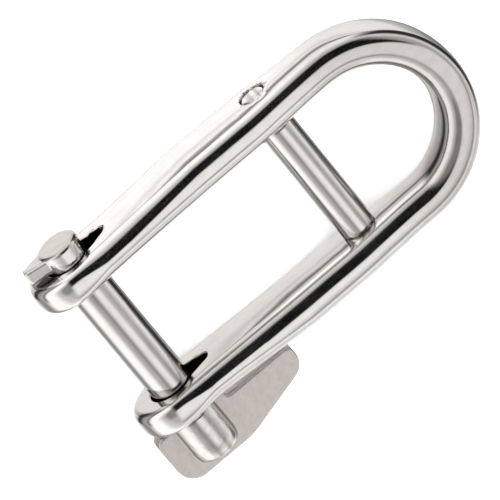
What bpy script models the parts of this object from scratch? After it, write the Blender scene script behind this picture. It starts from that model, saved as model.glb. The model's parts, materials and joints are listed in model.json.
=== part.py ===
"""Key-pin shackle with a crossbar, in polished stainless steel, lying flat.

The shackle is three pieces: a forged bow with two round ears, a crossbar riveted through the
legs, and a key pin, whose shank, key bit and thumb plate are one forging.

Everything is modelled about the middle of the pin's axis: X runs along the pin, with the thumb
plate at +X, Y runs along the legs to the crown, and Z is the shackle's thickness. The empty
"shackle" then lifts that point so that the part lies on Z = 0, centred on the origin.
"""

from math import acos, copysign, cos, pi, sin

import bmesh
import bpy
from mathutils import Matrix, Vector

MM = 0.001
GAP = 0.3 * MM                   # clearance between touching or cut pieces
MERGE = 0.01 * MM
OVERSHOOT = 3.0 * MM             # how far a cutter runs past what it cuts

# Driving dimensions
PIN_DIAMETER = 6.0 * MM
INSIDE_WIDTH = 19.3 * MM         # between the legs
LEG_WIDTH = 5.4 * MM             # of the bow's section, in the shackle's plane
LEG_DEPTH_AT_EARS = 10.4 * MM    # of the same section, along Z
LEG_DEPTH_AT_BAR = 9.9 * MM
CROWN_DEPTH = 7.8 * MM
SHOULDER_START_Y = 28.0 * MM     # the legs' depth drops to the crown's between these
SHOULDER_END_Y = 41.2 * MM
CORNER_RADIUS = 1.6 * MM
FACE_CROWNING = 0.2 * MM         # the front and back faces are that much higher in the middle
CROWN_CENTRE_Y = SHOULDER_END_Y  # the centre of the crown's half circle, from the pin's axis

EAR_RADIUS = 5.3 * MM
EAR_CENTRE_Y = -1.4 * MM         # the pin's hole sits above the middle of the round ear
EAR_THICKNESS = 4.4 * MM
EAR_EDGE = 0.7 * MM
EAR_FLAT_END_Y = 6.0 * MM        # the ears' flat cheeks run up to here, clear of the key bit
EAR_BLEND_END_Y = 18.0 * MM      # from here on a leg has its full width
EAR_PROUD = 0.05 * MM            # the ears' faces stand this much proud of the legs' ends

BAR_DIAMETER = 5.0 * MM
BAR_Y = 32.3 * MM
TENON_DIAMETER = 3.8 * MM        # of the bar's ends, which go through the legs
TENON_RECESS = 0.1 * MM          # of the riveted ends below the legs' outer flats

KEY_END_THICKNESS = 2.4 * MM     # of the key bit and the shank's end, beyond the ear
KEY_END_CHAMFER = 0.3 * MM
BIT_REACH = 5.7 * MM             # key bit, from the pin's axis to its tip
BIT_ROOT_RADIUS = 2.45 * MM
BIT_TIP_RADIUS = 0.8 * MM
BIT_RECESS = 0.2 * MM            # of the bit's outer face below the shank's end
BIT_INSET = 0.15 * MM            # of the bit's root inside the shank
BIT_EDGE = 0.25 * MM
SLOT_ROOT_RADIUS = 2.7 * MM
SLOT_TIP_RADIUS = 1.0 * MM
SLOT_TIP_Y = 6.25 * MM

BOSS_RADIUS = 3.6 * MM           # the round boss through the plate
BOSS_Y = -0.4 * MM
BOSS_CLEARANCE = 0.3 * MM        # between the boss and the ear
BOSS_END_X = 21.9 * MM
BOSS_END_RADIUS = 1.5 * MM

PLATE_THICKNESS = 2.6 * MM
PLATE_EDGE = 0.5 * MM
PLATE_CLEARANCE = 0.5 * MM       # between the plate's heel and the ear
PLATE_HEEL_Y = -6.8 * MM
PLATE_TIP_Y = 15.3 * MM
PLATE_OUTER_X = 22.85 * MM       # the plate's outer edge, beside the pin
PLATE_BEND_Y = 4.2 * MM          # where the outer edge starts to lean towards the tip
PLATE_TIP_X = 19.7 * MM          # the same edge, at the tip's corner
PLATE_LEG_CLEARANCE = 0.8 * MM   # between the thumb arm and the leg beside it
HEEL_OUTER_RADIUS = 2.9 * MM
HEEL_INNER_RADIUS = 1.2 * MM
BEND_RADIUS = 9.0 * MM
TIP_OUTER_RADIUS = 2.6 * MM
TIP_INNER_RADIUS = 1.2 * MM
NECK_Y = 4.6 * MM                # where the heel steps out to the thumb arm
NECK_RADIUS = 0.6 * MM

# Mesh fineness
ROUND_STEPS = 40
CROWN_STEPS = 14                 # over a quarter turn
BLEND_RINGS = 8
CORNER_STEPS = 4
ARC_STEP = pi / 14

# Worked out from the above
INNER_X = INSIDE_WIDTH / 2
OUTER_X = INNER_X + LEG_WIDTH
PATH_X = INNER_X + LEG_WIDTH / 2
PIN_RADIUS = PIN_DIAMETER / 2
EAR_OUTER_X = INNER_X - EAR_PROUD + EAR_THICKNESS
CROWN_TOP_Y = CROWN_CENTRE_Y + OUTER_X
KEY_END_X = -(EAR_OUTER_X + GAP + KEY_END_THICKNESS)
BOSS_START_X = EAR_OUTER_X + BOSS_CLEARANCE
PART_CENTRE = Vector((
    (KEY_END_X + PLATE_OUTER_X) / 2,
    (PLATE_HEEL_Y + CROWN_TOP_Y) / 2,
    -EAR_RADIUS,
))


def fresh_scene():
    """Empty the scene, and give it one collection for the parts and one for the cutters."""
    for thing in list(bpy.data.objects):
        bpy.data.objects.remove(thing, do_unlink=True)
    made = []
    for name in ("bow_shackle", "cutters"):
        collection = bpy.data.collections.new(name)
        bpy.context.scene.collection.children.link(collection)
        made.append(collection)
    return made


def steel(name, colour, roughness):
    """A bare metal."""
    material = bpy.data.materials.new(name)
    material.use_nodes = True
    shader = material.node_tree.nodes["Principled BSDF"]
    shader.inputs["Base Color"].default_value = (*colour, 1.0)
    shader.inputs["Metallic"].default_value = 1.0
    shader.inputs["Roughness"].default_value = roughness
    return material


def add_object(name, mesh, collection, parent, material=None):
    """An object for the mesh, in the parent's space."""
    thing = bpy.data.objects.new(name, mesh)
    collection.objects.link(thing)
    thing.parent = parent
    if material:
        mesh.materials.append(material)
    return thing


def add_empty(name, collection, location, parent=None):
    """A handle that other objects are parented to."""
    thing = bpy.data.objects.new(name, None)
    collection.objects.link(thing)
    thing.location = location
    thing.parent = parent
    return thing


def add_tool(name, mesh, collection, parent):
    """A body that only cuts or joins others."""
    tool = add_object(name, mesh, collection, parent)
    tool.hide_render = True
    tool.display_type = "WIRE"
    return tool


def to_mesh(name, bm):
    mesh = bpy.data.meshes.new(name)
    bm.to_mesh(mesh)
    bm.free()
    return mesh


def boolean(thing, operation, tool):
    modifier = thing.modifiers.new(f"{operation.lower()} {tool.name}", "BOOLEAN")
    modifier.operation = operation
    modifier.solver = "EXACT"
    modifier.object = tool


def smooth(thing, angle=pi / 5):
    thing.data.shade_smooth()
    thing.data.set_sharp_from_angle(angle=angle)


def bevel_edges(bm, edges, width, segments):
    bmesh.ops.bevel(bm, geom=edges, offset=width, offset_type="OFFSET", segments=segments,
                    profile=0.5, affect="EDGES", material=-1)


def arc(centre, radius, start, end):
    """Points of an arc in a plane, its two ends included."""
    steps = max(2, round(abs(end - start) / ARC_STEP))
    turns = [start + (end - start) * i / steps for i in range(steps + 1)]
    return [(centre[0] + radius * cos(t), centre[1] + radius * sin(t)) for t in turns]


def prism(outline, low, high, axes):
    """A closed outline, given as (a, b) points, pushed from low to high along a third axis.

    axes names the directions of a, b and the push, such as "YZX".
    """
    directions = [Vector([float(axis == letter) for letter in "XYZ"]) for axis in axes]
    bm = bmesh.new()
    corners = [bm.verts.new(directions[0] * a + directions[1] * b + directions[2] * low)
               for a, b in outline]
    face = bm.faces.new(corners)
    pushed = bmesh.ops.extrude_face_region(bm, geom=[face])["geom"]
    moved = [item for item in pushed if isinstance(item, bmesh.types.BMVert)]
    bmesh.ops.translate(bm, verts=moved, vec=directions[2] * (high - low))
    bmesh.ops.recalc_face_normals(bm, faces=bm.faces)
    return bm


def rod(radius, start_x, end_x, y=0.0):
    """A cylinder along X."""
    bm = bmesh.new()
    place = Matrix.Translation(((start_x + end_x) / 2, y, 0)) @ Matrix.Rotation(pi / 2, 4, "Y")
    bmesh.ops.create_cone(bm, cap_ends=True, segments=ROUND_STEPS, radius1=radius,
                          radius2=radius, depth=end_x - start_x, matrix=place)
    return bm


def rim_edges(bm):
    """The edges round the flat ends of a cylinder along X."""
    return [edge for edge in bm.edges
            if abs(edge.verts[0].co.x - edge.verts[1].co.x) < MERGE]


# The bow

def smoothstep(share):
    share = min(1.0, max(0.0, share))
    return share * share * (3 - 2 * share)


def depth_at(y):
    """The bow's depth along Z: almost even up to the bar, then down to the crown's."""
    up_the_leg = min(1.0, max(0.0, y / SHOULDER_START_Y))
    leg = LEG_DEPTH_AT_EARS + (LEG_DEPTH_AT_BAR - LEG_DEPTH_AT_EARS) * up_the_leg
    over = smoothstep((y - SHOULDER_START_Y) / (SHOULDER_END_Y - SHOULDER_START_Y))
    return leg + (CROWN_DEPTH - LEG_DEPTH_AT_BAR) * over


def section():
    """The bow's section at the crown: across the leg, and along Z.

    Flat sides, round corners, and a low crown on the front and back faces.
    """
    half_width = LEG_WIDTH / 2
    half_depth = CROWN_DEPTH / 2
    corner_x = half_width - CORNER_RADIUS
    corner_z = half_depth - FACE_CROWNING - CORNER_RADIUS
    quarter = []
    for i in range(CORNER_STEPS + 1):
        turn = pi / 2 * i / CORNER_STEPS
        quarter.append((corner_x + CORNER_RADIUS * cos(turn), corner_z + CORNER_RADIUS * sin(turn)))
    for share in (2 / 3, 1 / 3):
        quarter.append((corner_x * share, half_depth - FACE_CROWNING * share ** 2))
    mirrored = [(-x, z) for x, z in reversed(quarter)]
    top = quarter + [(0.0, half_depth)] + mirrored
    return top + [(-x, -z) for x, z in top]


def shape_leg(corner):
    """Deepen the leg towards its ear, and thin its outer side down to the ear's thickness."""
    corner.z += copysign((depth_at(corner.y) - CROWN_DEPTH) / 2, corner.z)
    if corner.y < EAR_BLEND_END_Y:
        share = (corner.y - EAR_FLAT_END_Y) / (EAR_BLEND_END_Y - EAR_FLAT_END_Y)
        end_width = EAR_THICKNESS - 2 * EAR_PROUD
        width = end_width + (LEG_WIDTH - end_width) * smoothstep(share)
        corner.x = -INNER_X + (corner.x + INNER_X) * width / LEG_WIDTH


def spread(start, end):
    """Even stations for the rings of a blend, both its ends included."""
    return [start + (end - start) * i / BLEND_RINGS for i in range(BLEND_RINGS + 1)]


def half_bow():
    """The leg at -X and half the crown, open at the plane X = 0."""
    bm = bmesh.new()
    ring = [bm.verts.new((x - PATH_X, EAR_CENTRE_Y, z)) for x, z in section()]
    edges = [bm.edges.new(pair) for pair in zip(ring, ring[1:] + ring[:1])]
    first = list(edges)
    stations = spread(EAR_FLAT_END_Y, EAR_BLEND_END_Y)
    stations += spread(SHOULDER_START_Y, SHOULDER_END_Y)
    reached = EAR_CENTRE_Y
    for station in stations:
        grown = bmesh.ops.extrude_edge_only(bm, edges=edges)["geom"]
        corners = [item for item in grown if isinstance(item, bmesh.types.BMVert)]
        edges = [item for item in grown if isinstance(item, bmesh.types.BMEdge)]
        bmesh.ops.translate(bm, verts=corners, vec=(0, station - reached, 0))
        reached = station
    bmesh.ops.spin(bm, geom=edges, cent=(0, CROWN_CENTRE_Y, 0), axis=(0, 0, 1),
                   angle=-pi / 2, steps=CROWN_STEPS)
    bmesh.ops.contextual_create(bm, geom=first)
    for corner in bm.verts:
        shape_leg(corner.co)
    bmesh.ops.remove_doubles(bm, verts=bm.verts, dist=MERGE / 10)
    bmesh.ops.recalc_face_normals(bm, faces=bm.faces)
    return bm


def ears():
    """The two round ears, as one mesh."""
    bm = bmesh.new()
    for side in (-1, 1):
        near = INNER_X - EAR_PROUD
        low, high = sorted((side * near, side * EAR_OUTER_X))
        disc = rod(EAR_RADIUS, low, high, EAR_CENTRE_Y)
        bevel_edges(disc, rim_edges(disc), EAR_EDGE, 3)
        mesh = to_mesh("disc", disc)
        bm.from_mesh(mesh)
        bpy.data.meshes.remove(mesh)
    return bm


def tapered(radius, root_radius, reach, tip_radius):
    """A circle with a taper out to a round tip at +Y, as (y, z) points.

    root_radius is how far from the circle's centre the taper's sides pass.
    """
    tip_centre = reach - tip_radius
    side = acos((root_radius - tip_radius) / tip_centre)
    mouth = side - acos(root_radius / radius)
    tip = arc((tip_centre, 0), tip_radius, -side, side)
    return arc((0, 0), radius, mouth, 2 * pi - mouth) + tip


def build_bow(collection, cutters, parent, material):
    bow = add_object("bow", to_mesh("bow", half_bow()), collection, parent, material)
    mirror = bow.modifiers.new("other half", "MIRROR")
    mirror.use_axis = (True, False, False)
    mirror.merge_threshold = MERGE
    boolean(bow, "UNION", add_tool("ears", to_mesh("ears", ears()), cutters, parent))
    reach = OUTER_X + OVERSHOOT
    outline = tapered(PIN_RADIUS + GAP, SLOT_ROOT_RADIUS, SLOT_TIP_Y, SLOT_TIP_RADIUS)
    hole = prism(outline, -reach, reach, "YZX")
    boolean(bow, "DIFFERENCE", add_tool("keyholes", to_mesh("keyholes", hole), cutters, parent))
    bores = rod(TENON_DIAMETER / 2 + GAP, -reach, reach, BAR_Y)
    boolean(bow, "DIFFERENCE", add_tool("bar_bores", to_mesh("bar_bores", bores), cutters, parent))
    smooth(bow)


# The crossbar

def build_crossbar(collection, parent, material):
    """A round bar whose shoulders stop at the legs' inner faces, with a tenon at each end."""
    shoulder = INNER_X - GAP
    bm = rod(BAR_DIAMETER / 2, -shoulder, shoulder, BAR_Y)
    ends = [face for face in bm.faces if abs(face.normal.x) > 0.9]
    step = (BAR_DIAMETER - TENON_DIAMETER) / 2
    bmesh.ops.inset_individual(bm, faces=ends, thickness=step, use_even_offset=True)
    for face in bmesh.ops.extrude_discrete_faces(bm, faces=ends)["faces"]:
        away = copysign(OUTER_X - TENON_RECESS - shoulder, face.calc_center_median().x)
        bmesh.ops.translate(bm, verts=face.verts, vec=(away, 0, 0))
    smooth(add_object("crossbar", to_mesh("crossbar", bm), collection, parent, material))


# The key pin

def shank_profile():
    """Half the shank's section: place along the axis, and distance from it."""
    chamfered = [(KEY_END_X, PIN_RADIUS - KEY_END_CHAMFER), (KEY_END_X + KEY_END_CHAMFER, PIN_RADIUS)]
    inside_boss = (BOSS_START_X + BOSS_END_X) / 2
    return [(KEY_END_X, 0.0)] + chamfered + [(inside_boss, PIN_RADIUS), (inside_boss, 0.0)]


def boss_profile():
    """Half the boss's section, its outer end rounded."""
    centre = (BOSS_END_X - BOSS_END_RADIUS, BOSS_RADIUS - BOSS_END_RADIUS)
    nose = arc(centre, BOSS_END_RADIUS, pi / 2, 0)
    return [(BOSS_START_X, 0.0), (BOSS_START_X, BOSS_RADIUS)] + nose + [(BOSS_END_X, 0.0)]


def turned(profile, y=0.0):
    """A body turned about an axis along X, from a section that starts and ends on that axis."""
    bm = bmesh.new()
    corners = [bm.verts.new((along, y, radius)) for along, radius in profile]
    edges = [bm.edges.new(pair) for pair in zip(corners, corners[1:])]
    bmesh.ops.spin(bm, geom=corners + edges, cent=(0, y, 0), axis=(1, 0, 0), angle=2 * pi,
                   steps=ROUND_STEPS, use_merge=True)
    bmesh.ops.remove_doubles(bm, verts=bm.verts, dist=MERGE)
    bmesh.ops.recalc_face_normals(bm, faces=bm.faces)
    return bm


def key_bit():
    """The tapered bit that locks behind the ear, pointing away from the crown."""
    shape = tapered(PIN_RADIUS - BIT_INSET, BIT_ROOT_RADIUS, BIT_REACH, BIT_TIP_RADIUS)
    outline = [(-y, z) for y, z in shape]
    bm = prism(outline, KEY_END_X + BIT_RECESS, KEY_END_X + KEY_END_THICKNESS, "YZX")
    bevel_edges(bm, rim_edges(bm), BIT_EDGE, 2)
    return bm


def rounded(corners):
    """An outline whose corners, given as (x, y, radius), are replaced by arcs."""
    points = []
    count = len(corners)
    for i, (x, y, radius) in enumerate(corners):
        here = Vector((x, y))
        back = (Vector(corners[i - 1][:2]) - here).normalized()
        ahead = (Vector(corners[(i + 1) % count][:2]) - here).normalized()
        half_angle = acos(back.dot(ahead)) / 2
        centre = here + (back + ahead).normalized() * radius / sin(half_angle)
        reach = radius / sin(half_angle) * cos(half_angle)
        start = here + back * reach - centre
        end = here + ahead * reach - centre
        sweep = start.angle_signed(end) * -1
        first = Vector((1, 0)).angle_signed(start) * -1
        points += arc(centre, radius, first, first + sweep)
    return points


def plate_outline():
    """The heel beside the ear, and the thumb arm along the leg, seen along Z."""
    heel_x = EAR_OUTER_X + PLATE_CLEARANCE
    arm_x = OUTER_X + PLATE_LEG_CLEARANCE
    return rounded([
        (heel_x, PLATE_HEEL_Y, HEEL_INNER_RADIUS),
        (PLATE_OUTER_X, PLATE_HEEL_Y, HEEL_OUTER_RADIUS),
        (PLATE_OUTER_X, PLATE_BEND_Y, BEND_RADIUS),
        (PLATE_TIP_X, PLATE_TIP_Y, TIP_OUTER_RADIUS),
        (arm_x, PLATE_TIP_Y, TIP_INNER_RADIUS),
        (arm_x, NECK_Y, NECK_RADIUS),
        (heel_x, NECK_Y, NECK_RADIUS),
    ])


def thumb_plate():
    """The flat plate, as thick as PLATE_THICKNESS, with broken edges."""
    half = PLATE_THICKNESS / 2
    bm = prism(plate_outline(), -half, half, "XYZ")
    faces = [edge for edge in bm.edges
             if abs(edge.verts[0].co.z - edge.verts[1].co.z) < MERGE]
    bevel_edges(bm, faces, PLATE_EDGE, 2)
    return bm


def build_key_pin(collection, cutters, parent, material):
    shank = to_mesh("key_pin", turned(shank_profile()))
    pin = add_object("key_pin", shank, collection, parent, material)
    boss = add_tool("boss", to_mesh("boss", turned(boss_profile(), BOSS_Y)), cutters, parent)
    boolean(pin, "UNION", boss)
    boolean(pin, "UNION", add_tool("plate", to_mesh("plate", thumb_plate()), cutters, parent))
    boolean(pin, "UNION", add_tool("bit", to_mesh("bit", key_bit()), cutters, parent))
    smooth(pin)


def main():
    parts, cutters = fresh_scene()
    bow_steel = steel("bow_steel", (0.78, 0.77, 0.75), 0.12)
    bar_steel = steel("bar_steel", (0.74, 0.73, 0.72), 0.18)
    pin_steel = steel("pin_steel", (0.66, 0.64, 0.61), 0.28)
    shackle = add_empty("shackle", parts, -PART_CENTRE)
    pin_axis = add_empty("pin_axis", parts, (0, 0, 0), shackle)
    build_bow(parts, cutters, shackle, bow_steel)
    build_crossbar(parts, shackle, bar_steel)
    build_key_pin(parts, cutters, pin_axis, pin_steel)


main()
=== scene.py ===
import json
from math import acos, asin, cos, pi, radians, sin

import bmesh
import bpy
from mathutils import Matrix, Vector


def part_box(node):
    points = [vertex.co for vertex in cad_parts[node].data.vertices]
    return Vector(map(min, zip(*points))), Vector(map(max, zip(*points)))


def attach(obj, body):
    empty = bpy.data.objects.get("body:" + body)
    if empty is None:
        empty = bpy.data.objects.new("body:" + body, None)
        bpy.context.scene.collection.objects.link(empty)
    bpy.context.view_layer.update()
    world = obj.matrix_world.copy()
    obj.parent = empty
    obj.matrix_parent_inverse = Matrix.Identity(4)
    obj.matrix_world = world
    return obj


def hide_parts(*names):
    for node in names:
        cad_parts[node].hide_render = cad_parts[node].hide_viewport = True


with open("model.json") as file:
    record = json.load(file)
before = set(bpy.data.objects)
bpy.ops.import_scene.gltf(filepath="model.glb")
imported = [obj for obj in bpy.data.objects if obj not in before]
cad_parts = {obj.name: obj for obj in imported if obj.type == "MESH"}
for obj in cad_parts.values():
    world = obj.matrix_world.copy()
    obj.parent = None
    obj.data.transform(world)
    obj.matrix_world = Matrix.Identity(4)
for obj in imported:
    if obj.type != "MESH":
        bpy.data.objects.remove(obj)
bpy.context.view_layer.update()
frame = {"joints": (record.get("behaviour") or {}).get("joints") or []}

MM = 0.001
PIN = Vector(frame["joints"][0]["pos_m"])       # the middle of the pin's axis


def from_pin(node):
    """The CAD node's lowest and highest corners, measured from the middle of the pin's axis."""
    return [Vector(corner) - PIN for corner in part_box(node)]


bow_high = from_pin("bow")[1]
bar_low, bar_high = from_pin("crossbar")
key_high = from_pin("key_pin")[1]

# The bow
LEG_WIDTH = 5.4 * MM
OUTER_X = bow_high.x
INNER_X = OUTER_X - LEG_WIDTH
CROWN_CENTRE_Y = bow_high.y - OUTER_X
EAR_RADIUS = 5.3 * MM
EAR_CENTRE_Y = -1.4 * MM         # the hole sits that much above the middle of the round ear
EAR_WIDTH = 4.35 * MM
LEG_HALF_DEPTH_AT_EARS = 5.2 * MM
LEG_HALF_DEPTH_AT_BAR = 4.9 * MM
CROWN_HALF_DEPTH = 3.9 * MM
EAR_BULGE_END_Y = 4.5 * MM       # the round ear has run into the leg by here
EAR_FLAT_END_Y = 4.5 * MM        # the ears' flat cheeks end here
EAR_BLEND_END_Y = 20.0 * MM      # and the leg has its full width from here on
SHOULDER_START_Y = 28.0 * MM
CROWN_TONE_START_Y = 33.0 * MM   # the steel is a shade darker over the crown
CROWN_TONE_END_Y = 46.0 * MM
OUTER_CORNER_RADIUS = 1.7 * MM
INNER_CORNER_RADIUS = 2.3 * MM
EAR_CORNER_RADIUS = 1.25 * MM
FACE_RADIUS = 7.5 * MM           # of the low crown across the front and back faces
SIDE_CROWNING = 0.2 * MM         # the legs' sides are that much fuller in the middle

KEYHOLE_RADIUS = 3.3 * MM
SLOT_ROOT_RADIUS = 2.7 * MM
SLOT_TIP_RADIUS = 1.0 * MM
SLOT_TIP_Y = 6.25 * MM
KEYHOLE_MIDDLE_Y = 1.5 * MM      # of the keyhole from its rounded foot to its tip
KEYHOLE_HALF_LENGTH = 5.0 * MM
KEYHOLE_EDGE = 0.22 * MM
KEYHOLE_ZONE_Y = 9.0 * MM        # every sharp outline below this belongs to a keyhole
BORE_EDGE = 0.25 * MM
BORE_ZONE = 3.0 * MM             # every sharp outline that near the bar belongs to a bore
EAR_STEPS = 48                   # round each ear's half circle
BLEND_STEPS = 32                 # up a leg: where the ear runs into it, its straight part,
LEG_STEPS = 6                    # and where its depth falls to the crown's
SHOULDER_STEPS = 20
CROWN_STEPS = 32                 # round a quarter of the crown

# The crossbar
BAR_Y = (bar_low.y + bar_high.y) / 2
BAR_RADIUS = bar_high.z
TENON_RADIUS = 1.9 * MM
BORE_RADIUS = 1.98 * MM
BAR_EDGE = 0.25 * MM
BAR_STEPS = 96

# The key pin
SHANK_RADIUS = 3.0 * MM
KEY_END_X = -16.7 * MM
KEY_END_EDGE = 0.5 * MM
BIT_THICKNESS = 2.3 * MM
BIT_RECESS = 0.2 * MM            # of the bit's outer face behind the shank's end
BIT_EDGE = 0.35 * MM
BIT_ROOT_RADIUS = 2.45 * MM
BIT_TIP_RADIUS = 0.85 * MM
BIT_REACH = 5.7 * MM
BIT_CUT = 0.25 * MM              # the tapered tip is cut off square by that much
PLATE_HALF_THICKNESS = 1.3 * MM
PLATE_EDGE = 0.35 * MM
BOSS_RADIUS = 3.6 * MM
BOSS_Y = -0.4 * MM
BOSS_X = 14.2 * MM
BOSS_FOOT = 0.3 * MM             # the boss's near end is chamfered by that much
SHANK_START_X = 1.6 * MM - OUTER_X       # hidden in the key end
KEY_END_FOOT_X = 1.4 * MM - OUTER_X
SHANK_END_X = BOSS_X + 0.4 * MM          # hidden in the boss
HEEL_X = 14.5 * MM
ARM_X = OUTER_X + 0.8 * MM
DOME_START_X = 19.1 * MM
DOME_RADIUS = 6.5 * MM
DOME_TURN = radians(14)
NOSE_RADIUS = 1.25 * MM
PLATE_OUTER_X = 22.85 * MM
PLATE_TIP_X = 19.7 * MM
PLATE_HEEL_Y = -6.8 * MM
PLATE_TIP_Y = key_high.y
NECK_Y = 4.6 * MM

MERGE = 0.002 * MM
SHARP = radians(60)


# Mesh helpers

def finish_piece(name, bm, body, nodes):
    """Make the piece an object at the origin, its place in its mesh, on its CAD body."""
    bmesh.ops.translate(bm, verts=bm.verts, vec=PIN)
    mesh = bpy.data.meshes.new(name)
    bm.to_mesh(mesh)
    bm.free()
    mesh.shade_smooth()
    piece = bpy.data.objects.new(name, mesh)
    bpy.context.scene.collection.objects.link(piece)
    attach(piece, body)
    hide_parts(*nodes)
    return piece


def keep_flats(piece):
    """Shade the piece's large flats flat and only its small edges round."""
    weights = piece.modifiers.new("flats stay flat", "WEIGHTED_NORMAL")
    weights.weight = 80
    return weights


def blend_forging(piece, grain, rounds):
    """Run the piece's joined solids into each other, with softly rounded corners."""
    blend = piece.modifiers.new("one forging", "REMESH")
    blend.mode = "VOXEL"
    blend.voxel_size = grain
    blend.use_smooth_shade = True
    ease = piece.modifiers.new("eased corners", "SMOOTH")
    ease.factor = 0.5
    ease.iterations = rounds


def bevel_edges(bm, edges, width, segments):
    bmesh.ops.bevel(bm, geom=edges, offset=width, offset_type="OFFSET", segments=segments,
                    profile=0.5, affect="EDGES", material=-1)


def tidy(bm):
    """Merge doubled vertices and turn every face outwards."""
    bmesh.ops.remove_doubles(bm, verts=bm.verts, dist=MERGE)
    bmesh.ops.recalc_face_normals(bm, faces=bm.faces)


def arc(centre, radius, start, end, steps):
    """Points of an arc in a plane, both its ends included."""
    turns = [start + (end - start) * i / steps for i in range(steps + 1)]
    return [(centre[0] + radius * cos(t), centre[1] + radius * sin(t)) for t in turns]


def chain(bm, points):
    """Vertices at the points, joined in a row."""
    corners = [bm.verts.new(point) for point in points]
    return corners, [bm.edges.new(pair) for pair in zip(corners, corners[1:])]


def new_ones(geom, kind):
    return [item for item in geom if isinstance(item, kind)]


def prism(outline, low, high, axes):
    """A closed outline of (a, b) points, pushed from low to high along a third axis.

    axes names the directions of a, b and the push, such as "YZX".
    """
    directions = [Vector([float(axis == letter) for letter in "XYZ"]) for axis in axes]
    bm = bmesh.new()
    corners = [bm.verts.new(directions[0] * a + directions[1] * b + directions[2] * low)
               for a, b in outline]
    face = bm.faces.new(corners)
    pushed = bmesh.ops.extrude_face_region(bm, geom=[face])["geom"]
    bmesh.ops.translate(bm, verts=new_ones(pushed, bmesh.types.BMVert),
                        vec=directions[2] * (high - low))
    bmesh.ops.recalc_face_normals(bm, faces=bm.faces)
    return bm


def turned(profile, steps, y=0.0):
    """A solid turned about X from (along, radius) points, which start and end on the axis."""
    bm = bmesh.new()
    corners, edges = chain(bm, [(along, y, radius) for along, radius in profile])
    bmesh.ops.spin(bm, geom=corners + edges, cent=(0, y, 0), axis=(1, 0, 0), angle=2 * pi,
                   steps=steps, use_merge=True)
    tidy(bm)
    return bm


def combined(bm, other, operation):
    """The two solids joined, or the second cut from the first."""
    meshes = []
    things = []
    for part in (bm, other):
        mesh = bpy.data.meshes.new("solid")
        part.to_mesh(mesh)
        part.free()
        meshes.append(mesh)
        thing = bpy.data.objects.new("solid", mesh)
        bpy.context.scene.collection.objects.link(thing)
        things.append(thing)
    modifier = things[0].modifiers.new("work", "BOOLEAN")
    modifier.operation = operation
    modifier.solver = "EXACT"
    modifier.object = things[1]
    result = bmesh.new()
    result.from_object(things[0], bpy.context.evaluated_depsgraph_get())
    for thing in things:
        bpy.data.objects.remove(thing)
    for mesh in meshes:
        bpy.data.meshes.remove(mesh)
    return result


def share_of(start, end, y):
    """How far y has come from start to end, from 0 to 1."""
    return min(1.0, max(0.0, (y - start) / (end - start)))


def between(start, end, y):
    """The same, eased at both ends."""
    share = share_of(start, end, y)
    return share * share * (3 - 2 * share)


def mix(a, b, share):
    return a + (b - a) * share


# The bow

def half_depth_at(y):
    ear = mix(EAR_RADIUS, LEG_HALF_DEPTH_AT_EARS, between(EAR_CENTRE_Y, EAR_BULGE_END_Y, y))
    leg = mix(ear, LEG_HALF_DEPTH_AT_BAR, share_of(EAR_BULGE_END_Y, SHOULDER_START_Y, y))
    return mix(leg, CROWN_HALF_DEPTH, between(SHOULDER_START_Y, CROWN_CENTRE_Y, y))


def quarter(half_width, half_depth, radius, crowning):
    """A quarter of the section, as (x, z), from the middle of a side to the top's middle."""
    corner_x = half_width - crowning - radius
    lean = asin(corner_x / (FACE_RADIUS - radius))
    corner_z = half_depth - FACE_RADIUS + (FACE_RADIUS - radius) * cos(lean)
    tilt = 2 * crowning / corner_z
    start_x = corner_x + radius * cos(tilt)
    start_z = corner_z + radius * sin(tilt)
    side = [(start_x + crowning * (1 - up * up), start_z * up)
            for up in (0.0, 0.2, 0.4, 0.6, 0.8)]
    corner = arc((corner_x, corner_z), radius, tilt, pi / 2 - lean, 12)
    face = arc((0, half_depth - FACE_RADIUS), FACE_RADIUS, pi / 2 - lean, pi / 2, 5)[1:]
    return side + corner + face


def section(y):
    """The section of the leg at -X at that height, as (x, z), from the inner side over the top
    to the outer side and back underneath."""
    share = share_of(EAR_FLAT_END_Y, EAR_BLEND_END_Y, y)
    half_width = mix(EAR_WIDTH, OUTER_X - INNER_X, share) / 2
    half_depth = half_depth_at(y)
    crowning = SIDE_CROWNING * share
    fullest = half_width - crowning - 0.05 * MM
    outer_radius = mix(INNER_CORNER_RADIUS, OUTER_CORNER_RADIUS, share)
    grown = between(EAR_CENTRE_Y, EAR_BULGE_END_Y, y)
    inner, outer = (
        quarter(half_width, half_depth, mix(EAR_CORNER_RADIUS, min(radius, fullest), grown),
                crowning)
        for radius in (INNER_CORNER_RADIUS, outer_radius))
    top = inner + [(-x, z) for x, z in reversed(outer[:-1])]
    bottom = [(x, -z) for x, z in reversed(top[1:-1])]
    return [(x - INNER_X - half_width, z) for x, z in top + bottom]


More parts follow.
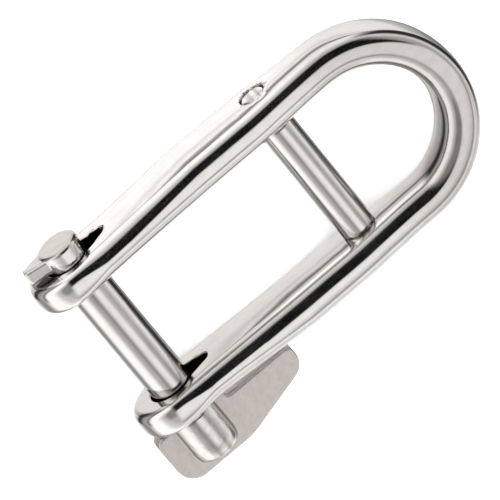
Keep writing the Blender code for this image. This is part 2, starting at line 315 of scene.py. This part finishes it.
def half_bow():
    """The leg at -X with its ear and half the crown, open at the plane X = 0."""
    bm = bmesh.new()
    place = bm.verts.layers.int.new("place")
    around = section(EAR_CENTRE_Y)
    top_count = len(around) // 2 + 1
    corners, edges = chain(bm, [(x, EAR_CENTRE_Y, z) for x, z in around[:top_count]])
    for i, corner in enumerate(corners):
        corner[place] = i
    bmesh.ops.spin(bm, geom=corners + edges, cent=(0, EAR_CENTRE_Y, 0), axis=(1, 0, 0),
                   angle=pi, steps=EAR_STEPS)
    bmesh.ops.remove_doubles(bm, verts=bm.verts, dist=MERGE)
    edges = [edge for edge in bm.edges if edge.is_boundary]
    for corner in {corner for edge in edges for corner in edge.verts}:
        if corner.co.z < -MERGE:
            corner[place] = len(around) - corner[place]
    stations = [mix(start, end, i / steps) for start, end, steps in (
        (EAR_CENTRE_Y, EAR_BLEND_END_Y, BLEND_STEPS),
        (EAR_BLEND_END_Y, SHOULDER_START_Y, LEG_STEPS),
        (SHOULDER_START_Y, CROWN_CENTRE_Y, SHOULDER_STEPS),
    ) for i in range(1, steps + 1)]
    for y in stations:
        grown = bmesh.ops.extrude_edge_only(bm, edges=edges)["geom"]
        edges = new_ones(grown, bmesh.types.BMEdge)
        around = section(y)
        for corner in new_ones(grown, bmesh.types.BMVert):
            x, z = around[corner[place]]
            corner.co = (x, y, z)
    ends = list({corner for edge in edges for corner in edge.verts})
    bmesh.ops.spin(bm, geom=ends + edges, cent=(0, CROWN_CENTRE_Y, 0), axis=(0, 0, 1),
                   angle=-pi / 2, steps=CROWN_STEPS)
    return bm


def tapered(radius, root_radius, reach, tip_radius, steps):
    """A circle with a taper out to a round tip at +Y, as (y, z) points.

    root_radius is how far from the circle's centre the taper's sides pass.
    """
    centre = reach - tip_radius
    side = acos((root_radius - tip_radius) / centre)
    mouth = side - acos(root_radius / radius)
    circle = arc((0, 0), radius, mouth, 2 * pi - mouth, steps)
    return circle + arc((centre, 0), tip_radius, -side, side, steps // 3)


def on_outline(edge, limit):
    """Whether the edge is a sharp one that runs across X, round a hole in a flat side."""
    if len(edge.link_faces) != 2 or edge.calc_face_angle(0) < SHARP:
        return False
    first, second = (corner.co for corner in edge.verts)
    return abs(first.x - second.x) < MERGE and limit(first) and limit(second)


def build_bow():
    bm = half_bow()
    bmesh.ops.mirror(bm, geom=bm.verts[:] + bm.edges[:] + bm.faces[:], merge_dist=MERGE, axis="X")
    tidy(bm)
    reach = OUTER_X + 2 * MM
    hole = tapered(KEYHOLE_RADIUS, SLOT_ROOT_RADIUS, SLOT_TIP_Y, SLOT_TIP_RADIUS, 44)
    bm = combined(bm, prism(hole, -reach, reach, "YZX"), "DIFFERENCE")
    bore = turned([(-reach, 0), (-reach, BORE_RADIUS), (reach, BORE_RADIUS), (reach, 0)], 48,
                  BAR_Y)
    bm = combined(bm, bore, "DIFFERENCE")
    bmesh.ops.remove_doubles(bm, verts=bm.verts, dist=MERGE)
    flat = [edge for edge in bm.edges
            if len(edge.link_faces) == 2 and edge.calc_face_angle(1) < radians(0.02)]
    bmesh.ops.dissolve_edges(bm, edges=flat, use_verts=False)
    low = [edge for edge in bm.edges if on_outline(edge, lambda co: co.y < KEYHOLE_ZONE_Y)]
    bevel_edges(bm, low, KEYHOLE_EDGE, 3)
    bores = [edge for edge in bm.edges
             if on_outline(edge, lambda co: abs(co.y - BAR_Y) < BORE_ZONE)]
    bevel_edges(bm, bores, BORE_EDGE, 3)
    bow = finish_piece("bow_forging", bm, "bow", ["bow"])
    keep_flats(bow).keep_sharp = True
    return bow


# The crossbar

def build_crossbar():
    """A turned bar, its ends riveted over in the legs."""
    shoulder = INNER_X - 0.02 * MM
    end = OUTER_X - 0.08 * MM
    half = [(0.0, end)] + [(TENON_RADIUS * share, end - 0.12 * MM * share ** 2)
                           for share in (0.3, 0.6, 0.85)]
    half += [(TENON_RADIUS, end - 0.3 * MM), (TENON_RADIUS, shoulder)]
    half += [(radius, along) for along, radius in
             arc((shoulder - BAR_EDGE, BAR_RADIUS - BAR_EDGE), BAR_EDGE, 0, pi / 2, 5)]
    half += [(BAR_RADIUS, shoulder - 2 * BAR_EDGE)]
    profile = [(-along, radius) for radius, along in half]
    profile += [(along, radius) for radius, along in reversed(half)]
    bm = turned(profile, BAR_STEPS, BAR_Y)
    bar = finish_piece("crossbar_turned", bm, "bow", ["crossbar"])
    keep_flats(bar)
    return bar


# The key pin

def rounded(corners):
    """An outline whose corners, given as (x, y, radius), are replaced by arcs."""
    points = []
    for i, (x, y, radius) in enumerate(corners):
        here = Vector((x, y))
        back = (Vector(corners[i - 1][:2]) - here).normalized()
        ahead = (Vector(corners[(i + 1) % len(corners)][:2]) - here).normalized()
        half_angle = back.angle(ahead) / 2
        centre = here + (back + ahead).normalized() * radius / sin(half_angle)
        start = here + back * radius * cos(half_angle) / sin(half_angle) - centre
        end = here + ahead * radius * cos(half_angle) / sin(half_angle) - centre
        sweep = -start.angle_signed(end)
        first = -Vector((1, 0)).angle_signed(start)
        points += arc(centre, radius, first, first + sweep, 8)
    return points


def plate_outline():
    """The heel beside the ear, and the thumb arm along the leg, seen along Z."""
    return rounded([
        (HEEL_X, PLATE_HEEL_Y, 1.2 * MM),
        (PLATE_OUTER_X, PLATE_HEEL_Y, 2.9 * MM),
        (PLATE_OUTER_X, 4.2 * MM, 9.0 * MM),
        (PLATE_TIP_X, PLATE_TIP_Y, 2.6 * MM),
        (ARM_X, PLATE_TIP_Y, 1.2 * MM),
        (ARM_X, NECK_Y, 0.62 * MM),
        (HEEL_X, NECK_Y, 0.62 * MM),
    ])


def boss_nose():
    """The boss's far end: it falls off gently, then rounds over more tightly to its end face."""
    gentle = arc((DOME_START_X, BOSS_RADIUS - DOME_RADIUS), DOME_RADIUS, pi / 2 - DOME_TURN,
                 pi / 2, 8)
    brow_x, brow_r = gentle[0]
    centre = (brow_x - NOSE_RADIUS * sin(DOME_TURN), brow_r - NOSE_RADIUS * cos(DOME_TURN))
    tight = arc(centre, NOSE_RADIUS, 0, pi / 2 - DOME_TURN, 8)
    return [(tight[0][0], 0)] + tight + gentle[1:]


def build_thumb_plate():
    """The flat plate, with the shank's end standing out of both its faces."""
    plate = prism(plate_outline(), -PLATE_HALF_THICKNESS, PLATE_HALF_THICKNESS, "XYZ")
    rims = [edge for edge in plate.edges
            if abs(edge.verts[0].co.z - edge.verts[1].co.z) < MERGE]
    bevel_edges(plate, rims, PLATE_EDGE, 4)
    foot = [(BOSS_X + BOSS_FOOT, BOSS_RADIUS), (BOSS_X, BOSS_RADIUS - BOSS_FOOT), (BOSS_X, 0)]
    boss = turned(boss_nose() + foot, BAR_STEPS, BOSS_Y)
    bm = combined(plate, boss, "UNION")
    piece = finish_piece("thumb_plate", bm, "key_pin", ["key_pin"])
    blend_forging(piece, 0.12 * MM, 9)
    return piece


def build_shank():
    """The turned shank, from inside the key end to inside the plate's boss."""
    profile = [(SHANK_START_X, 0), (SHANK_START_X, SHANK_RADIUS),
               (SHANK_END_X, SHANK_RADIUS), (SHANK_END_X, 0)]
    piece = finish_piece("key_pin_shank", turned(profile, BAR_STEPS), "key_pin", ["key_pin"])
    keep_flats(piece)
    return piece


def build_key_bit():
    """The shank's end with the flat bit that locks behind the ear, away from the crown."""
    corner = arc((KEY_END_X + KEY_END_EDGE, SHANK_RADIUS - KEY_END_EDGE), KEY_END_EDGE,
                 pi, pi / 2, 5)
    foot = [(KEY_END_FOOT_X, SHANK_RADIUS), (KEY_END_FOOT_X, 0)]
    stub = turned([(KEY_END_X, 0)] + corner + foot, BAR_STEPS)
    shape = tapered(SHANK_RADIUS - 0.05 * MM, BIT_ROOT_RADIUS, BIT_REACH + BIT_CUT,
                    BIT_TIP_RADIUS, 44)
    outline = [(-y, z) for y, z in shape]
    bit = prism(outline, KEY_END_X + BIT_RECESS, KEY_END_X + BIT_THICKNESS, "YZX")
    cut = bmesh.ops.bisect_plane(bit, geom=bit.verts[:] + bit.edges[:] + bit.faces[:],
                                 plane_co=(0, -BIT_REACH, 0), plane_no=(0, -1, 0),
                                 clear_outer=True)
    bmesh.ops.contextual_create(bit, geom=new_ones(cut["geom_cut"], bmesh.types.BMEdge))
    rims = [edge for edge in bit.edges if edge.calc_face_angle(0) > radians(50)]
    bevel_edges(bit, rims, BIT_EDGE, 4)
    bmesh.ops.recalc_face_normals(bit, faces=bit.faces)
    bm = combined(stub, bit, "UNION")
    piece = finish_piece("key_bit", bm, "key_pin", ["key_pin"])
    blend_forging(piece, 0.08 * MM, 8)
    return piece


# Materials

def node(tree, kind, inputs=(), **settings):
    """A node with its settings made, and each named input set to a value or joined to a socket."""
    made = tree.nodes.new(kind)
    for name, value in settings.items():
        setattr(made, name, value)
    for name, value in dict(inputs).items():
        if isinstance(value, bpy.types.NodeSocket):
            tree.links.new(value, made.inputs[name])
        else:
            made.inputs[name].default_value = value
    return made


def effect(name, inputs, outputs):
    """A shader node group with those sockets; gives the group and its input and output nodes."""
    tree = bpy.data.node_groups.new(name, "ShaderNodeTree")
    for label, kind, start in inputs:
        socket = tree.interface.new_socket(label, in_out="INPUT", socket_type=kind)
        if start is not None:
            socket.default_value = start
    for label, kind in outputs:
        tree.interface.new_socket(label, in_out="OUTPUT", socket_type=kind)
    return tree, tree.nodes.new("NodeGroupInput"), tree.nodes.new("NodeGroupOutput")


def level(shade):
    """The light that shows as that shade of grey, from 0 to 255."""
    return (shade / 255) ** 2.2


def ramp(tree, value, low, high, stops):
    """A value remapped from low..high, through stops of (value, shade)."""
    share = node(tree, "ShaderNodeMapRange", {
        "Value": value, "From Min": low, "From Max": high}).outputs["Result"]
    made = node(tree, "ShaderNodeValToRGB", {"Fac": share})
    made.color_ramp.interpolation = "EASE"
    elements = made.color_ramp.elements
    while len(elements) > 1:
        elements.remove(elements[-1])
    for i, (at, shade) in enumerate(stops):
        where = (at - low) / (high - low)
        if i == 0:
            elements[0].position = where
            stop = elements[0]
        else:
            stop = elements.new(where)
        stop.color = (level(shade),) * 3 + (1,)
    return made.outputs["Color"]


def eased(tree, value, low, high):
    """The value remapped to 0..1 between low and high, eased at both ends."""
    return node(tree, "ShaderNodeMapRange", {
        "Value": value, "From Min": low, "From Max": high},
        interpolation_type="SMOOTHSTEP").outputs["Result"]


def mixed(tree, share, first, second):
    return node(tree, "ShaderNodeMix", {0: share, 6: first, 7: second},
                data_type="RGBA").outputs[2]


def tints(tree, mask, dark, light):
    return mixed(tree, mask, (*dark, 1), (*light, 1))


def spread(tree, mask, low, high):
    """A mask whose values lie mostly from 0.3 to 0.7, remapped to low..high."""
    return node(tree, "ShaderNodeMapRange", {
        "Value": mask, "From Min": 0.3, "From Max": 0.7, "To Min": low, "To Max": high,
    }).outputs["Result"]


def bright_steel(tree, mask):
    return tints(tree, mask, (0.70, 0.67, 0.645), (0.90, 0.88, 0.86))


def darkened(tree, colour, mask, shade):
    """The colour as it is where the mask is 0, and multiplied by the shade where it is 1."""
    return node(tree, "ShaderNodeMix", {0: mask, 6: colour, 7: (*shade, 1)},
                data_type="RGBA", blend_type="MULTIPLY").outputs[2]


def bump(tree, shader, height, distance):
    made = node(tree, "ShaderNodeBump", {"Height": height, "Distance": distance, "Strength": 1.0})
    tree.links.new(made.outputs["Normal"], shader.inputs["Normal"])


VALUE, POINT = "NodeSocketFloat", "NodeSocketVector"

REFLECTION_BANDS_ACROSS = [   # across the bar from -1 to 1, and how dark the painted reflection bands are there
    (-1.0, 0), (-0.45, 0), (-0.36, 190), (-0.26, 200), (-0.17, 250), (-0.1, 235), (-0.02, 150),
    (0.05, 0), (0.13, 0), (0.2, 150), (0.27, 250), (0.34, 250), (0.42, 160), (0.48, 0),
    (0.7, 0), (0.8, 120), (1.0, 120),
]


def make_waviness():
    """The slow unevenness that forging and hand polishing leave, as a height."""
    tree, given, out = effect("hand_polish_waviness", [
        ("Position", POINT, None), ("Waves per metre", VALUE, 150.0), ("Height", VALUE, 1.0),
    ], [("Height", VALUE)])
    broad = node(tree, "ShaderNodeTexNoise", {
        "Vector": given.outputs["Position"], "Scale": given.outputs["Waves per metre"],
        "Detail": 1.5, "Roughness": 0.4})
    height = node(tree, "ShaderNodeMath", {0: broad.outputs["Fac"], 1: given.outputs["Height"]},
                  operation="MULTIPLY")
    tree.links.new(height.outputs[0], out.inputs["Height"])
    return tree


def make_fine_lines():
    """Fine lines along one way of the surface: a mask from 0 to 1."""
    tree, given, out = effect("fine_lines", [
        ("Position", POINT, None), ("Stretch", POINT, (1, 1, 1)), ("Lines per metre", VALUE, 900.0),
    ], [("Mask", VALUE)])
    stretched = node(tree, "ShaderNodeVectorMath", {
        0: given.outputs["Position"], 1: given.outputs["Stretch"]}, operation="MULTIPLY")
    lines = node(tree, "ShaderNodeTexNoise", {
        "Vector": stretched.outputs[0], "Scale": given.outputs["Lines per metre"],
        "Detail": 4.0, "Roughness": 0.65})
    tree.links.new(lines.outputs["Fac"], out.inputs["Mask"])
    return tree


def use(tree, group, **inputs):
    """The group placed in a material; an underscore in an input's name stands for a space."""
    return node(tree, "ShaderNodeGroup", {name.replace("_", " "): value
                                          for name, value in inputs.items()}, node_tree=group)


def metal(name):
    """A bare metal; gives the material, its tree, its shader and its place on the piece."""
    material = bpy.data.materials.new(name)
    material.use_nodes = True
    tree = material.node_tree
    shader = tree.nodes["Principled BSDF"]
    shader.inputs["Metallic"].default_value = 1.0
    place = tree.nodes.new("ShaderNodeTexCoord").outputs["Object"]
    return material, tree, shader, place


def make_painted_reflection_bands():
    """Painted reflection bands, lighter and darker, along a round bar, as a mask from 0 to 1."""
    tree, given, out = effect("painted_reflection_bands", [
        ("Position", POINT, None), ("Axis height", VALUE, 0.0), ("Radius", VALUE, 0.003),
    ], [("Mask", VALUE)])
    height = node(tree, "ShaderNodeSeparateXYZ", {0: given.outputs["Position"]}).outputs["Y"]
    off_axis = node(tree, "ShaderNodeMath", {0: height, 1: given.outputs["Axis height"]},
                    operation="SUBTRACT").outputs[0]
    share = node(tree, "ShaderNodeMath", {0: off_axis, 1: given.outputs["Radius"]},
                 operation="DIVIDE").outputs[0]
    # painted shade: dark reflection bands along the bar, set by how far across it a point lies
    band_shade = ramp(tree, share, -1, 1, REFLECTION_BANDS_ACROSS)
    tree.links.new(band_shade, out.inputs["Mask"])
    return tree


def make_raised():
    """How far the surface stands out beyond a step from the part's middle plane."""
    tree, given, out = effect("raised", [
        ("Position", POINT, None), ("Middle", VALUE, 0.0), ("Step", VALUE, 0.001),
    ], [("Above", VALUE)])
    height = node(tree, "ShaderNodeSeparateXYZ", {0: given.outputs["Position"]}).outputs["Z"]
    away = node(tree, "ShaderNodeMath", {0: height, 1: given.outputs["Middle"]},
                operation="SUBTRACT").outputs[0]
    away = node(tree, "ShaderNodeMath", {0: away}, operation="ABSOLUTE").outputs[0]
    above = node(tree, "ShaderNodeMath", {0: away, 1: given.outputs["Step"]},
                 operation="SUBTRACT").outputs[0]
    tree.links.new(above, out.inputs["Above"])
    return tree


def make_ear_patch():
    """A block of each ear, from Near to Far along X on either side: 1 there, else 0."""
    tree, given, out = effect("ear_patch", [
        ("Position", POINT, None), ("Middle", POINT, (0, 0, 0)), ("Near", VALUE, 0.0),
        ("Far", VALUE, 0.0), ("Reach", VALUE, 0.0), ("Half height", VALUE, 0.0),
    ], [("Mask", VALUE)])
    away = node(tree, "ShaderNodeVectorMath", {0: given.outputs["Position"],
                                               1: given.outputs["Middle"]}, operation="SUBTRACT")
    away = node(tree, "ShaderNodeVectorMath", {0: away.outputs[0]}, operation="ABSOLUTE")
    axes = node(tree, "ShaderNodeSeparateXYZ", {0: away.outputs[0]}).outputs
    mask = node(tree, "ShaderNodeMath", {0: axes["X"], 1: given.outputs["Near"]},
                operation="GREATER_THAN").outputs[0]
    for axis, limit in (("X", "Far"), ("Y", "Reach"), ("Z", "Half height")):
        test = node(tree, "ShaderNodeMath", {0: axes[axis], 1: given.outputs[limit]},
                    operation="LESS_THAN").outputs[0]
        mask = node(tree, "ShaderNodeMath", {0: mask, 1: test}, operation="MULTIPLY").outputs[0]
    tree.links.new(mask, out.inputs["Mask"])
    return tree


def make_inner_side():
    """Where the bow's inner side is, between the legs and under the crown: 1 there, else 0."""
    tree, given, out = effect("inner_side", [
        ("Position", POINT, None), ("Crown centre", VALUE, 0.0), ("Middle", VALUE, 0.0),
        ("Reach", VALUE, 0.01),
    ], [("Mask", VALUE)])
    axes = node(tree, "ShaderNodeSeparateXYZ", {0: given.outputs["Position"]}).outputs
    over = node(tree, "ShaderNodeMath", {0: axes["Y"], 1: given.outputs["Crown centre"]},
                operation="SUBTRACT").outputs[0]
    over = node(tree, "ShaderNodeMath", {0: over, 1: 0.0}, operation="MAXIMUM").outputs[0]
    across = node(tree, "ShaderNodeMath", {0: axes["X"], 1: given.outputs["Middle"]},
                  operation="SUBTRACT").outputs[0]
    flat = node(tree, "ShaderNodeCombineXYZ", {"X": across, "Y": over}).outputs[0]
    length = node(tree, "ShaderNodeVectorMath", {0: flat}, operation="LENGTH").outputs["Value"]
    shaded_inner_side = node(tree, "ShaderNodeMath", {0: length, 1: given.outputs["Reach"]},
                  operation="LESS_THAN").outputs[0]
    tree.links.new(shaded_inner_side, out.inputs["Mask"])
    return tree


WAVINESS = make_waviness()
FINE_LINES = make_fine_lines()
PAINTED_REFLECTION_BANDS = make_painted_reflection_bands()
RAISED = make_raised()
INNER_SIDE = make_inner_side()
EAR_PATCH = make_ear_patch()


def polished_steel():
    """The bow's steel: hand polished, with painted shade on the inner side, painted black shade
    inside the keyholes, and painted shade on the cheeks beside the key bit and the heel."""
    material, tree, shader, place = metal("polished_steel")
    lines = use(tree, FINE_LINES, Position=place, Stretch=(1.0, 0.12, 1.0),
                Lines_per_metre=1500.0).outputs["Mask"]
    blotches = use(tree, FINE_LINES, Position=place, Stretch=(1.0, 0.6, 1.0),
                   Lines_per_metre=650.0).outputs["Mask"]
    shaded_inner_side = use(tree, INNER_SIDE, Position=place, Crown_centre=PIN.y + CROWN_CENTRE_Y,
                 Middle=PIN.x, Reach=INNER_X + 0.24 * MM).outputs["Mask"]
    waves = use(tree, WAVINESS, Position=place, Waves_per_metre=160.0, Height=1.0)
    tree.links.new(spread(tree, lines, 0.04, 0.09), shader.inputs["Roughness"])
    colour = tints(tree, blotches, (0.71, 0.68, 0.655), (0.92, 0.90, 0.88))
    # painted shade on the inner side, where the flats would mirror the floor in the shackle's
    # shadow
    colour = darkened(tree, colour, shaded_inner_side, (0.72, 0.70, 0.675))
    height = node(tree, "ShaderNodeSeparateXYZ", {0: place}).outputs["Y"]
    over = eased(tree, height, PIN.y + CROWN_TONE_START_Y, PIN.y + CROWN_TONE_END_Y)
    colour = darkened(tree, colour, over, (0.80, 0.785, 0.77))
    cheek = INNER_X + EAR_WIDTH
    # painted shade: black inside the keyholes, where little light gets in
    keyhole_shade = use(tree, EAR_PATCH, Position=place, Middle=PIN + Vector((0, KEYHOLE_MIDDLE_Y, 0)),
                Near=INNER_X + 0.12 * MM, Far=cheek - 0.12 * MM, Reach=KEYHOLE_HALF_LENGTH,
                Half_height=KEYHOLE_RADIUS + 0.1 * MM)
    colour = darkened(tree, colour, keyhole_shade.outputs["Mask"], (0.06, 0.055, 0.05))
    # painted shade on the ears' outer cheeks, in the gap beside the key bit and the heel
    cheek_shade = use(tree, EAR_PATCH, Position=place, Middle=PIN + Vector((0, EAR_CENTRE_Y, 0)),
                 Near=cheek - 0.1 * MM, Far=cheek + 0.1 * MM, Reach=4.4 * MM,
                 Half_height=SHANK_RADIUS)
    colour = darkened(tree, colour, cheek_shade.outputs["Mask"], (0.25, 0.24, 0.23))
    tree.links.new(colour, shader.inputs["Base Color"])
    bump(tree, shader, waves.outputs["Height"], 0.05 * MM)
    return material


def drawn_steel(name, axis_height, radius):
    """A drawn bar's steel, with painted reflection bands along it."""
    material, tree, shader, place = metal(name)
    lines = use(tree, FINE_LINES, Position=place, Stretch=(0.1, 1.0, 1.0),
                Lines_per_metre=1600.0).outputs["Mask"]
    blotches = use(tree, FINE_LINES, Position=place, Stretch=(0.35, 1.0, 1.0),
                   Lines_per_metre=500.0).outputs["Mask"]
    band_shade = use(tree, PAINTED_REFLECTION_BANDS, Position=place, Axis_height=axis_height,
                Radius=radius).outputs["Mask"]
    waves = use(tree, WAVINESS, Position=place, Waves_per_metre=300.0, Height=1.0)
    tree.links.new(spread(tree, lines, 0.06, 0.16), shader.inputs["Roughness"])
    # painted reflection bands darken the bar along its length
    colour = darkened(tree, bright_steel(tree, blotches), band_shade, (0.60, 0.58, 0.555))
    tree.links.new(colour, shader.inputs["Base Color"])
    bump(tree, shader, waves.outputs["Height"], 0.03 * MM)
    return material


def cast_steel():
    """The thumb plate's steel: grainy on the plate, and polished over the boss, with painted
    reflection bands along the boss and painted shade in the fillet round its foot.
    """
    material, tree, shader, place = metal("cast_steel")
    grain = use(tree, FINE_LINES, Position=place, Stretch=(1.0, 1.0, 1.0),
                Lines_per_metre=1400.0).outputs["Mask"]
    clouds = use(tree, FINE_LINES, Position=place, Stretch=(1.0, 1.0, 1.0),
                 Lines_per_metre=900.0).outputs["Mask"]
    above = use(tree, RAISED, Position=place, Middle=PIN.z,
                Step=PLATE_HALF_THICKNESS).outputs["Above"]
    raised = ramp(tree, above, 0.0, 0.002, [(0.0001, 0), (0.0003, 255)])
    # painted shade in the fillet where the boss meets the plate
    corner = ramp(tree, above, 0.0, 0.002,
                  [(0.00004, 0), (0.0002, 255), (0.0005, 255), (0.0008, 0)])
    band_shade = use(tree, PAINTED_REFLECTION_BANDS, Position=place, Axis_height=PIN.y + BOSS_Y,
                Radius=BOSS_RADIUS).outputs["Mask"]
    dull = spread(tree, grain, 0.30, 0.5)
    rough = node(tree, "ShaderNodeMix", {0: raised, 2: dull, 3: 0.12}, data_type="FLOAT")
    tree.links.new(rough.outputs[0], shader.inputs["Roughness"])
    plate = tints(tree, clouds, (0.45, 0.41, 0.385), (0.68, 0.635, 0.60))
    # painted reflection bands darken the boss along its length
    boss = darkened(tree, bright_steel(tree, clouds), band_shade, (0.55, 0.53, 0.50))
    colour = mixed(tree, raised, plate, boss)
    # painted shade darkens the fillet round the boss's foot
    colour = darkened(tree, colour, corner, (0.45, 0.43, 0.41))
    tree.links.new(colour, shader.inputs["Base Color"])
    bump(tree, shader, grain, 0.05 * MM)
    return material


def forged_end_steel():
    """The key bit's steel: polished, and darker on the end face and its rounded edge."""
    material, tree, shader, place = metal("forged_end_steel")
    blotches = use(tree, FINE_LINES, Position=place, Stretch=(1.0, 1.0, 1.0),
                   Lines_per_metre=450.0).outputs["Mask"]
    across = node(tree, "ShaderNodeSeparateXYZ", {0: place}).outputs["X"]
    end_face = PIN.x + KEY_END_X
    # darker towards the end face
    darker_end_face = node(tree, "ShaderNodeMapRange", {
        "Value": across, "From Min": end_face + 0.45 * MM, "From Max": end_face + 0.15 * MM,
    }).outputs["Result"]
    colour = darkened(tree, bright_steel(tree, blotches), darker_end_face, (0.72, 0.70, 0.67))
    tree.links.new(colour, shader.inputs["Base Color"])
    tree.links.new(spread(tree, blotches, 0.06, 0.2), shader.inputs["Roughness"])
    bump(tree, shader, blotches, 0.06 * MM)
    return material


def dress(piece, material):
    """Give the piece its one material."""
    piece.data.materials.clear()
    piece.data.materials.append(material)


# The studio

AROUND = [   # degrees from overhead towards -X, and the shade there
    (-180, 232), (-170, 180), (-158, 125), (-150, 150), (-138, 225), (-118, 242),
    (-98, 222), (-78, 205), (-64, 215), (-52, 238),
    (-44, 195), (-39, 145), (-34, 205), (-28, 228), (-13, 224), (-8, 170), (-4, 14), (50, 14),
    (56, 90), (64, 172), (78, 198), (92, 228), (106, 253), (130, 253), (139, 235), (142, 120),
    (144, 150), (147, 251), (151, 222), (153, 250), (158, 252), (180, 240),
]
PLAIN_LIGHT = (2.4, 2.4, 2.4, 1.0)       # what everything but a mirror is lit by
TENT_STRENGTH = 1.25
CROWN_END = [   # towards the crown: how high the direction is, from -1 to 1, and the shade there
    (-1.0, 235), (-0.76, 230), (-0.68, 60), (-0.2, 50), (-0.05, 110), (0.1, 210), (0.2, 222),
    (0.45, 185), (0.59, 166), (0.75, 190), (0.86, 206), (1.0, 206),
]
EAR_END = [   # the same, towards the ears' round ends
    (-1.0, 235), (-0.84, 190), (-0.74, 60), (-0.62, 70), (-0.52, 140), (-0.3, 160),
    (-0.2, 105), (-0.1, 190), (0.0, 250),
    (0.38, 254), (0.5, 228), (0.63, 192), (0.84, 129), (1.0, 129),
]
PIN_SIDE = [   # the same, towards the ears and the thumb plate's side
    (-1.0, 235), (-0.8, 210), (-0.6, 145), (-0.4, 132), (-0.2, 200), (-0.05, 250),
    (0.38, 254), (0.5, 228), (0.63, 200), (0.84, 172), (1.0, 172),
]


def build_studio():
    """A light tent: what polished steel sees around it, and plain white light for the rest."""
    world = bpy.data.worlds.new("light_tent")
    bpy.context.scene.world = world
    world.use_nodes = True
    tree = world.node_tree
    sky = tree.nodes["Background"]
    way = node(tree, "ShaderNodeSeparateXYZ",
               {0: tree.nodes.new("ShaderNodeTexCoord").outputs["Generated"]}).outputs
    minus_x = node(tree, "ShaderNodeMath", {0: way["X"], 1: -1.0}, operation="MULTIPLY")
    turn = node(tree, "ShaderNodeMath", {0: minus_x.outputs[0], 1: way["Z"]},
                operation="ARCTAN2")
    degrees = node(tree, "ShaderNodeMath", {0: turn.outputs[0]}, operation="DEGREES").outputs[0]
    belt = ramp(tree, degrees, -180, 180, AROUND)
    crown_end = ramp(tree, way["Z"], -1, 1, CROWN_END)
    ear_end = ramp(tree, way["Z"], -1, 1, EAR_END)
    pin_side = ramp(tree, way["Z"], -1, 1, PIN_SIDE)
    ear_end = mixed(tree, eased(tree, way["X"], 0.25, 0.4), ear_end, pin_side)
    tent = mixed(tree, eased(tree, way["Y"], 0.5, 0.78), belt, crown_end)
    tent = mixed(tree, eased(tree, way["Y"], -0.06, -0.3), tent, ear_end)
    rays = tree.nodes.new("ShaderNodeLightPath").outputs
    seen = mixed(tree, rays["Is Glossy Ray"], PLAIN_LIGHT, tent)
    tree.links.new(seen, sky.inputs["Color"])
    sky.inputs["Strength"].default_value = TENT_STRENGTH


def build_floor():
    """A plain pale floor, a hair below the shackle, which the steel doesn't mirror."""
    bm = bmesh.new()
    bmesh.ops.create_grid(bm, x_segments=1, y_segments=1, size=1.0)
    mesh = bpy.data.meshes.new("floor")
    bm.to_mesh(mesh)
    bm.free()
    floor = bpy.data.objects.new("floor", mesh)
    bpy.context.scene.collection.objects.link(floor)
    floor.location.z = -0.01 * MM
    material = bpy.data.materials.new("pale_floor")
    material.use_nodes = True
    shader = material.node_tree.nodes["Principled BSDF"]
    shader.inputs["Base Color"].default_value = (0.93, 0.93, 0.925, 1)
    shader.inputs["Roughness"].default_value = 0.9
    shader.inputs["Specular IOR Level"].default_value = 0.1
    mesh.materials.append(material)
    floor.visible_glossy = False


# The camera looks down on the -X side, with the legs running up to the right.
TURN, TIP, ROLL = radians(25.8), radians(-1.5), radians(-49.95)
FRAME_WIDTH = 65.8 * MM
DISTANCE = 1.2
AIM = (16.0 * MM, 10.9 * MM)     # the middle of the view, to the right of the pin and above it


def build_camera():
    spin = (Matrix.Rotation(ROLL, 3, "Z") @ Matrix.Rotation(TIP, 3, "X")
            @ Matrix.Rotation(TURN, 3, "Y"))
    right, up, towards = spin
    data = bpy.data.cameras.new("camera")
    camera = bpy.data.objects.new("camera", data)
    bpy.context.scene.collection.objects.link(camera)
    data.lens = data.sensor_width * DISTANCE / FRAME_WIDTH
    data.clip_start = 0.01
    data.clip_end = 10
    aim = PIN + right * AIM[0] + up * AIM[1]
    place = spin.transposed().to_4x4()
    place.translation = aim + towards * DISTANCE
    camera.matrix_world = place
    bpy.context.scene.camera = camera


dress(build_bow(), polished_steel())
dress(build_crossbar(), drawn_steel("drawn_bar_steel", PIN.y + BAR_Y, BAR_RADIUS))
dress(build_shank(), drawn_steel("turned_shank_steel", PIN.y, SHANK_RADIUS))
dress(build_key_bit(), forged_end_steel())
dress(build_thumb_plate(), cast_steel())
build_studio()
build_floor()
build_camera()
bpy.context.scene.view_settings.view_transform = "Standard"
